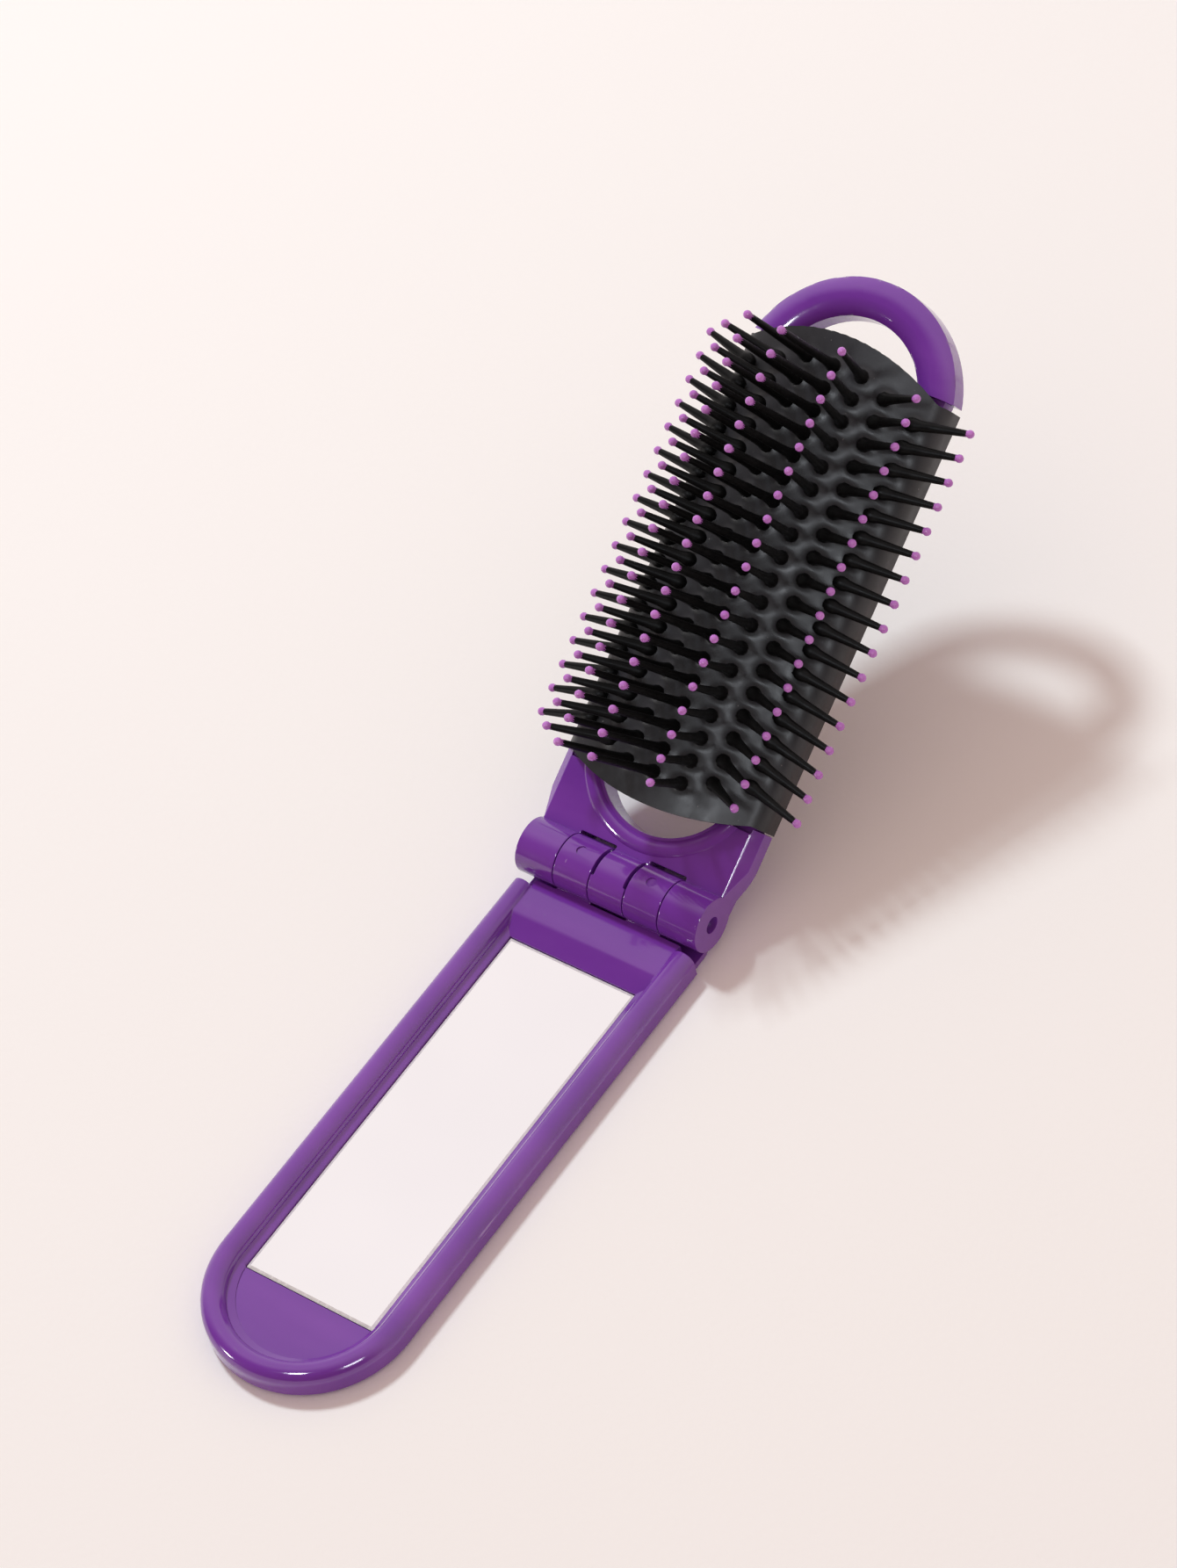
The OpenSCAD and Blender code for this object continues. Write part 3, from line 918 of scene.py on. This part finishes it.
@dataclass
class Pins:
    """The seven rows of nylon pins, each row on its strip under the pad, with a bead on each tip."""

    layout: Layout
    foot_rings: Rings = ((-1.6, 0.6), (-0.9, 1.05), (-0.3, 1.18), (0.3, 1.08))
    shaft_rings: Rings = ((0.9, 0.90), (1.8, 0.82), (3.4, 0.74))
    shaft_top: float = 10.0
    bead_turns: tuple[float, ...] = (-38, -12, 14, 40, 66)
    bead_end_r: float = 0.08
    foot_over: float = 0.95
    sleeve_len: float = 1.0
    sleeve_top: float = -0.6
    sleeve_step: float = 0.17
    tip_r: float = 0.68
    end_r: float = 0.51
    strip_w: float = 2.0
    strip_t: float = 0.8
    strip_under: float = 1.2
    strip_round: float = 0.2
    bead_inset: float = 0.3
    shaft_from: float = 5.0
    weld_mm: float = 1e-4
    sides: int = 10
    bead_sides: int = 12
    crease: float = 60
    keep: float = 0.1

    def turned(self, name: str, rings: list[tuple[float, float]], sides: int) -> bpy.types.Object:
        """Models a round piece by extruding a circle ring by ring along Z.

        Args:
            name: The piece's name.
            rings: Height and radius of each ring, from the bottom, in millimetres.
            sides: The circle's sides.

        Returns:
            The piece, with both ends closed.
        """
        bpy.ops.object.select_all(action="DESELECT")
        height, radius = rings[0]
        bpy.ops.mesh.primitive_circle_add(
            vertices=sides, radius=radius, location=(0, 0, height), fill_type="NGON"
        )
        piece = bpy.context.object
        piece.name = piece.data.name = name
        bpy.ops.object.transform_apply(location=True, rotation=False, scale=False)
        bpy.ops.object.mode_set(mode="EDIT")
        bpy.ops.mesh.select_all(action="SELECT")
        for next_height, next_radius in rings[1:]:
            bpy.ops.mesh.extrude_region_move(
                TRANSFORM_OT_translate={"value": (0, 0, next_height - height)}
            )
            scale = next_radius / radius
            bpy.ops.transform.resize(value=(scale, scale, 1), center_override=(0, 0, next_height))
            height, radius = next_height, next_radius
        bpy.ops.object.mode_set(mode="OBJECT")
        weld(piece, self.weld_mm)
        return piece

    def pin(self) -> bpy.types.Object:
        """Models a pin in millimetres, with a top that each copy moves to its own height."""
        rings = [*self.foot_rings, *self.shaft_rings, (self.shaft_top, self.end_r)]
        return self.turned("pin", rings, self.sides)

    def bead(self) -> bpy.types.Object:
        """Models a bead with the sleeve behind it, its middle at the origin, in millimetres."""
        r, sleeve_r = self.tip_r, self.tip_r - self.sleeve_step
        rings = [(-self.sleeve_len, sleeve_r), (self.sleeve_top, sleeve_r)]
        rings += [(r * math.sin(a), r * math.cos(a)) for a in map(math.radians, self.bead_turns)]
        return self.turned("bead", [*rings, (r, self.bead_end_r)], self.bead_sides)

    def copies(
        self, pattern: bpy.types.Object, places: list[Matrix], stretch: list[float] | None = None
    ) -> list[bpy.types.Object]:
        """Copies a pattern piece to places, each copy with its own mesh.

        Args:
            pattern: The piece.
            places: A matrix for each copy.
            stretch: The length of each copy's shaft, if the pattern has one.

        Returns:
            The copies.
        """
        made = []
        for n, place in enumerate(places):
            copy = bpy.data.objects.new(pattern.name, pattern.data.copy())
            bpy.context.scene.collection.objects.link(copy)
            if stretch:
                for vertex in copy.data.vertices:
                    if vertex.co.z > self.shaft_from:
                        vertex.co.z = stretch[n]
            copy.data.transform(place)
            made.append(copy)
        return made

    def strip(self, row: int) -> bpy.types.Object:
        """Models the strip that carries a row, under the pad.

        Args:
            row: The row, 1 to 7.

        Returns:
            The strip.
        """
        first, last = (self.layout.foot(row, i, 0) for i in (0, self.layout.pins(row)[-1]))
        length = last.x - first.x + 2 * self.strip_w
        bpy.ops.object.select_all(action="DESELECT")
        bpy.ops.mesh.primitive_cube_add(size=1, scale=(length, self.strip_w, self.strip_t))
        strip = bpy.context.object
        bpy.ops.object.transform_apply(location=True, rotation=True, scale=True)
        edit(strip, lambda: bpy.ops.mesh.bevel(offset=self.strip_round, segments=2, affect="EDGES"))
        lean = Matrix.Rotation(-self.layout.lean(row), 4, "X")
        under = Matrix.Translation((0, 0, -self.strip_under - self.strip_t / 2))
        strip.data.transform(AXES.matrix() @ Matrix.Translation((first + last) / 2) @ lean @ under)
        return strip

    def build(self, pin_finish: bpy.types.Material, bead_finish: bpy.types.Material) -> None:
        """Builds and dresses the rows.

        Args:
            pin_finish: The black nylon.
            bead_finish: The lilac nylon.
        """
        pin, bead = self.pin(), self.bead()
        for row in ROWS:
            pins, beads, shafts = [], [], []
            for i in self.layout.pins(row):
                foot, tip = self.layout.foot(row, i, self.foot_over), self.layout.tip(row, i)
                turn = (tip - foot).to_track_quat("Z", "Y").to_matrix().to_4x4()
                pins.append(AXES.matrix() @ Matrix.Translation(foot) @ turn)
                beads.append(AXES.matrix() @ Matrix.Translation(tip) @ turn)
                shafts.append((tip - foot).length - self.bead_inset)
            rows = (
                (joined([*self.copies(pin, pins, shafts), self.strip(row)], f"pin_row_{row}"),
                 Slot.NYLON, pin_finish, f"bristle_row_{row}"),
                (joined(self.copies(bead, beads), f"bead_row_{row}"),
                 Slot.BEAD, bead_finish, f"tip_beads_{row}"),
            )
            for piece, slot, finish, node in rows:
                smooth(piece, self.crease)
                fit(piece, Body.BRUSH, slot, finish, node)
                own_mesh(piece)
        for pattern in (pin, bead):
            bpy.data.objects.remove(pattern)


# Studio ---------------------------------------------------------------------------------------


@dataclass(frozen=True)
class Lamp:
    """A soft square lamp that points at the hinge: places in metres, power in watts."""

    name: str
    at: tuple[float, float, float]
    size: float
    energy: float
    tint: Colour
    hidden_from: Ray

    def hang(self) -> None:
        """Hangs the lamp."""
        data = bpy.data.lights.new(self.name, "AREA")
        data.size, data.energy, data.color = self.size, self.energy, self.tint
        lamp = bpy.data.objects.new(self.name, data)
        bpy.context.scene.collection.objects.link(lamp)
        lamp.location = self.at
        setattr(lamp, f"visible_{self.hidden_from.value}", False)
        lamp.rotation_mode = "QUATERNION"
        lamp.rotation_quaternion = (-Vector(self.at)).to_track_quat("-Z", "Y")


LAMPS = (
    Lamp("key", (0.36, 0.86, 1.34), 0.20, 14.9, (0.88, 0.98, 1.0), Ray.GLOSSY),
    Lamp("overhead", (-0.50, 0.03, 0.82), 0.14, 2.6, (0.88, 0.93, 1.0), Ray.DIFFUSE),
    Lamp("front", (-0.37, -0.58, 0.64), 0.20, 2.0, (0.90, 0.94, 1.0), Ray.DIFFUSE),
    Lamp("window", (-0.66, 0.60, 0.18), 0.10, 1.4, (1, 1, 1), Ray.DIFFUSE),
)


@dataclass
class Studio:
    """The pale floor, the soft lights and the camera."""

    floor_colour: Colour = (0.91, 0.925, 0.93)
    world_colour: Colour = (1.0, 0.75, 0.67)
    world_strength: float = 0.63
    shown_colour: Colour = (0.97, 0.90, 0.905)
    dim_colour: Colour = (0.10, 0.09, 0.095)
    dim_range: tuple[float, float] = (-0.42, 0.22)
    floor_size: float = 12
    floor_drop: float = 2e-5
    floor_shade: float = 0.985
    lens: float = 131.74
    clip: tuple[float, float] = (0.01, 20)
    camera_at: tuple[float, float, float] = (-0.371918, -0.402881, 0.687702)
    camera_turn: tuple[float, float, float, float] = (0.82061661, 0.33161646, -0.07924688, -0.45862712)

    def floor(self) -> None:
        """Lays the floor."""
        bpy.ops.object.select_all(action="DESELECT")
        bpy.ops.mesh.primitive_plane_add(size=self.floor_size, location=(0, 0, -self.floor_drop))
        floor = bpy.context.object
        floor.name = "studio_floor"
        s = Shader("pale_floor")
        shade = s.noise(3, 3)
        pale = tuple(c * self.floor_shade for c in self.floor_colour)
        s.link(s.ramp(shade, *CORE, pale, self.floor_colour), s.surface.inputs["Base Color"])
        s.bump((s.noise(900, 4), 4e-5))
        s.set(Roughness=0.8, Specular_IOR_Level=0.1)
        floor.data.materials.append(s.material)

    def world(self) -> None:
        """Lights the room evenly, and shows the backdrop's own colour to the camera and the gloss."""
        world = bpy.data.worlds.new("studio")
        bpy.context.scene.world = world
        world.use_nodes = True
        tree = world.node_tree
        light = tree.nodes["Background"]
        light.inputs["Color"].default_value = (*self.world_colour, 1)
        light.inputs["Strength"].default_value = self.world_strength
        shown = tree.nodes.new("ShaderNodeBackground")
        self.dim_side(tree, shown)
        path, either, both = (
            tree.nodes.new(f"ShaderNode{kind}") for kind in ("LightPath", "Math", "MixShader")
        )
        either.operation = "MAXIMUM"
        tree.links.new(path.outputs["Is Camera Ray"], either.inputs[0])
        tree.links.new(path.outputs["Is Glossy Ray"], either.inputs[1])
        tree.links.new(either.outputs[0], both.inputs["Fac"])
        tree.links.new(light.outputs[0], both.inputs[1])
        tree.links.new(shown.outputs[0], both.inputs[2])
        tree.links.new(both.outputs[0], tree.nodes["World Output"].inputs["Surface"])

    def dim_side(self, tree: bpy.types.NodeTree, shown: bpy.types.Node) -> None:
        """Makes the shown backdrop pale ahead and dim behind the handle, as a room's walls are.

        Args:
            tree: The world's nodes.
            shown: The background that the camera and the gloss see.
        """
        place, split, ramp, colours = (
            tree.nodes.new(f"ShaderNode{kind}") for kind in ("TexCoord", "SeparateXYZ", "MapRange", "Mix")
        )
        ramp.interpolation_type = "SMOOTHSTEP"
        ramp.inputs["From Min"].default_value, ramp.inputs["From Max"].default_value = self.dim_range
        colours.data_type = "RGBA"
        colours.inputs["A"].default_value = (*self.dim_colour, 1)
        colours.inputs["B"].default_value = (*self.shown_colour, 1)
        tree.links.new(place.outputs["Generated"], split.inputs[0])
        tree.links.new(split.outputs["X"], ramp.inputs["Value"])
        tree.links.new(ramp.outputs["Result"], colours.inputs["Factor"])
        tree.links.new(colours.outputs["Result"], shown.inputs["Color"])

    def camera(self) -> None:
        """Sets the camera at the photograph's place."""
        data = bpy.data.cameras.new("camera")
        data.lens = self.lens
        data.clip_start, data.clip_end = self.clip
        camera = bpy.data.objects.new("camera", data)
        bpy.context.scene.collection.objects.link(camera)
        camera.location = self.camera_at
        camera.rotation_mode = "QUATERNION"
        camera.rotation_quaternion = self.camera_turn
        bpy.context.scene.camera = camera

    def build(self) -> None:
        """Sets up the whole studio."""
        self.floor()
        self.world()
        for lamp in LAMPS:
            lamp.hang()
        self.camera()
        bpy.context.scene.view_settings.view_transform = "Standard"


BLACK_NYLON = Nylon("black_nylon", (0.002, 0.002, 0.002), (0.005, 0.005, 0.005), (0.40, 0.50), 0.15)
LILAC_NYLON = Nylon("lilac_nylon", (0.46, 0.15, 0.58), (0.54, 0.20, 0.66), (0.22, 0.32))


def main() -> None:
    """Builds the brush from its handle to its beads, then the studio."""
    logging.basicConfig(level=logging.INFO, format="%(name)s: %(message)s")
    violet = VioletPlastic().material()
    Handle().build(violet)
    BrushFrame().build(violet)
    arch = Arch()
    layout = Layout(arch)
    Pad(arch, layout).build(BlackRubber().material())
    Pins(layout).build(BLACK_NYLON.material(), LILAC_NYLON.material())
    Studio().build()


if __name__ == "__main__":
    main()
